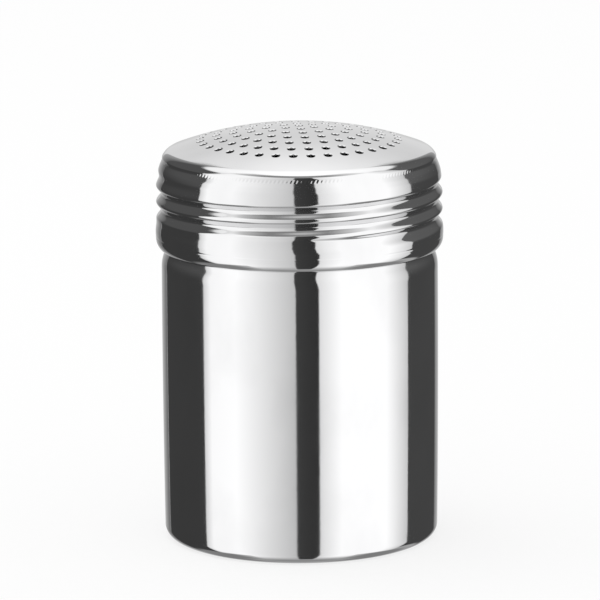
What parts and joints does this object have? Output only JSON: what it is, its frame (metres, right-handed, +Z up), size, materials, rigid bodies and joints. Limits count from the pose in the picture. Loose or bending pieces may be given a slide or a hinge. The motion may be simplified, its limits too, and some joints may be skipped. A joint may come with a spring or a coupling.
{
  "type": "perforated shaker with screw lid",
  "caption": "Round stainless steel shaker: a deep-drawn cup with a drawn-in neck, closed by a pressed screw lid with a domed, perforated top.",
  "frame": {"origin": "centre of the base, on the plane that the shaker stands on", "axes": "+Z up along the axis of the cup and lid; the pictured side faces -Y"},
  "size_m": [0.0728, 0.0726, 0.1053],
  "materials": {
    "cup_steel": "mirror-polished stainless steel",
    "lid_steel": "mirror-polished stainless steel"
  },
  "bodies": {
    "cup_body": {"cup": "cup_steel"},
    "lid_body": {"lid": "lid_steel"}
  },
  "joints": [
    {"name": "lid_lift", "type": "slide", "parent": "cup_body", "child": "lid_body", "axis": [0, 0, 1], "range_m": [0, 0.0432]}
  ]
}
